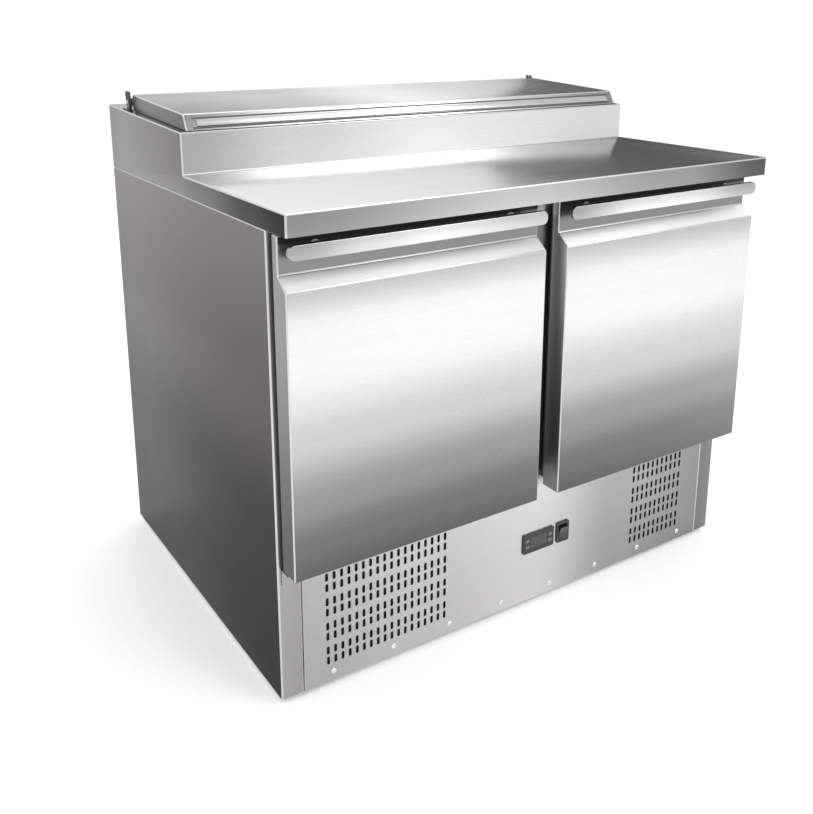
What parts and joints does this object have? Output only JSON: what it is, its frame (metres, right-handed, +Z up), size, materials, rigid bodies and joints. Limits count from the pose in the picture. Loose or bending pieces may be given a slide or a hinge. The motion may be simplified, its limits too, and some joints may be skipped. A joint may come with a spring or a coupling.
{
  "type": "sandwich prep table",
  "caption": "Two-door refrigerated sandwich prep table with a worktop, a lidded pan rail and a vented machine compartment.",
  "frame": {"origin": "on the floor, under the middle of the outline", "axes": "+X to the user's right, -Y towards the doors, +Z up"},
  "size_m": [0.9, 0.7, 0.837],
  "materials": {
    "stainless_steel": "brushed",
    "galvanised_steel": "dull",
    "foam": "matte",
    "sheet_over_foam": "satin",
    "black_rubber": "matte",
    "gasket_rubber": "satin",
    "white_plastic": "matte",
    "grey_plastic": "matte",
    "black_plastic": "satin",
    "key_plastic": "satin",
    "display_window": "gloss",
    "rocker_plastic": "gloss",
    "black_enamel": "semi-gloss",
    "fin_aluminium": "satin",
    "fan_plastic": "satin",
    "motor_enamel": "satin",
    "copper": "drawn"
  },
  "bodies": {
    "cabinet": {"back_panel": "stainless_steel", "base_tray": "galvanised_steel", "centre_mullion": "sheet_over_foam", "compressor": "black_enamel", "compressor_grommets": "black_rubber", "condenser": "fin_aluminium", "condenser_fan_motor": "motor_enamel", "condenser_shroud": "galvanised_steel", "controller_housing": "black_plastic", "controller_lens": "display_window", "door_hinge_brackets": "stainless_steel", "drip_tray": "grey_plastic", "evaporator": "fin_aluminium", "evaporator_cover": "stainless_steel", "evaporator_fan_motor": "motor_enamel", "glides": "black_rubber", "hood_cheeks": "stainless_steel", "hood_front": "stainless_steel", "hood_roof": "stainless_steel", "inner_liner": "stainless_steel", "insulation": "foam", "kick_panel": "stainless_steel", "kick_screws": "stainless_steel", "left_side_panel": "stainless_steel", "lid_hinge_brackets": "black_plastic", "pan_1": "stainless_steel", "pan_2": "stainless_steel", "pan_3": "stainless_steel", "pan_4": "stainless_steel", "pan_5": "stainless_steel", "pan_deck": "stainless_steel", "power_inlet": "black_plastic", "rear_grille": "stainless_steel", "refrigerant_pipes": "copper", "right_side_panel": "stainless_steel", "rocker_housing": "black_plastic", "shelf_clips": "stainless_steel", "sill_rail": "sheet_over_foam", "top_rail": "sheet_over_foam", "wire_shelves": "stainless_steel", "worktop": "stainless_steel"},
    "left_door": {"left_door_skin": "stainless_steel", "left_door_inner_panel": "sheet_over_foam", "left_door_gasket": "gasket_rubber", "left_door_handle": "stainless_steel", "left_door_bushes": "white_plastic"},
    "right_door": {"right_door_skin": "stainless_steel", "right_door_inner_panel": "sheet_over_foam", "right_door_gasket": "gasket_rubber", "right_door_handle": "stainless_steel", "right_door_bushes": "white_plastic"},
    "lid": {"lid_skin": "stainless_steel", "lid_inner_panel": "sheet_over_foam"},
    "mains_rocker": {"rocker": "rocker_plastic"},
    "condenser_fan_wheel": {"condenser_fan": "fan_plastic"},
    "evaporator_fan_wheel": {"evaporator_fan": "fan_plastic"},
    "key_1": {"controller_button_1": "key_plastic"},
    "key_2": {"controller_button_2": "key_plastic"},
    "key_3": {"controller_button_3": "key_plastic"},
    "key_4": {"controller_button_4": "key_plastic"}
  },
  "joints": [
    {"name": "left_door_hinge", "type": "hinge", "parent": "cabinet", "child": "left_door", "pos_m": [-0.432, -0.3065, 0.45], "axis": [0, 0, -1], "range_deg": [0, 90]},
    {"name": "right_door_hinge", "type": "hinge", "parent": "cabinet", "child": "right_door", "pos_m": [0.432, -0.3065, 0.45], "axis": [0, 0, 1], "range_deg": [0, 90]},
    {"name": "lid_hinge", "type": "hinge", "parent": "cabinet", "child": "lid", "pos_m": [0, 0.262, 0.82003], "axis": [-1, 0, 0], "range_deg": [0, 95]},
    {"name": "rocker_tilt", "type": "hinge", "parent": "cabinet", "child": "mains_rocker", "pos_m": [0.0765, -0.285, 0.1155], "axis": [-1, 0, 0], "range_deg": [0, 16]},
    {"name": "condenser_fan_spin", "type": "hinge", "parent": "cabinet", "child": "condenser_fan_wheel", "pos_m": [-0.2703, -0.19, 0.0917], "axis": [0, 1, 0], "continuous": true},
    {"name": "evaporator_fan_spin", "type": "hinge", "parent": "cabinet", "child": "evaporator_fan_wheel", "pos_m": [0, 0.2328, 0.57], "axis": [0, 1, 0], "continuous": true},
    {"name": "key_1_press", "type": "slide", "parent": "cabinet", "child": "key_1", "axis": [0, 1, 0], "range_m": [0, 0.0008], "stiffness_N_per_m": 400, "springref_m": -0.0004},
    {"name": "key_2_press", "type": "slide", "parent": "cabinet", "child": "key_2", "axis": [0, 1, 0], "range_m": [0, 0.0008], "stiffness_N_per_m": 400, "springref_m": -0.0004},
    {"name": "key_3_press", "type": "slide", "parent": "cabinet", "child": "key_3", "axis": [0, 1, 0], "range_m": [0, 0.0008], "stiffness_N_per_m": 400, "springref_m": -0.0004},
    {"name": "key_4_press", "type": "slide", "parent": "cabinet", "child": "key_4", "axis": [0, 1, 0], "range_m": [0, 0.0008], "stiffness_N_per_m": 400, "springref_m": -0.0004}
  ]
}
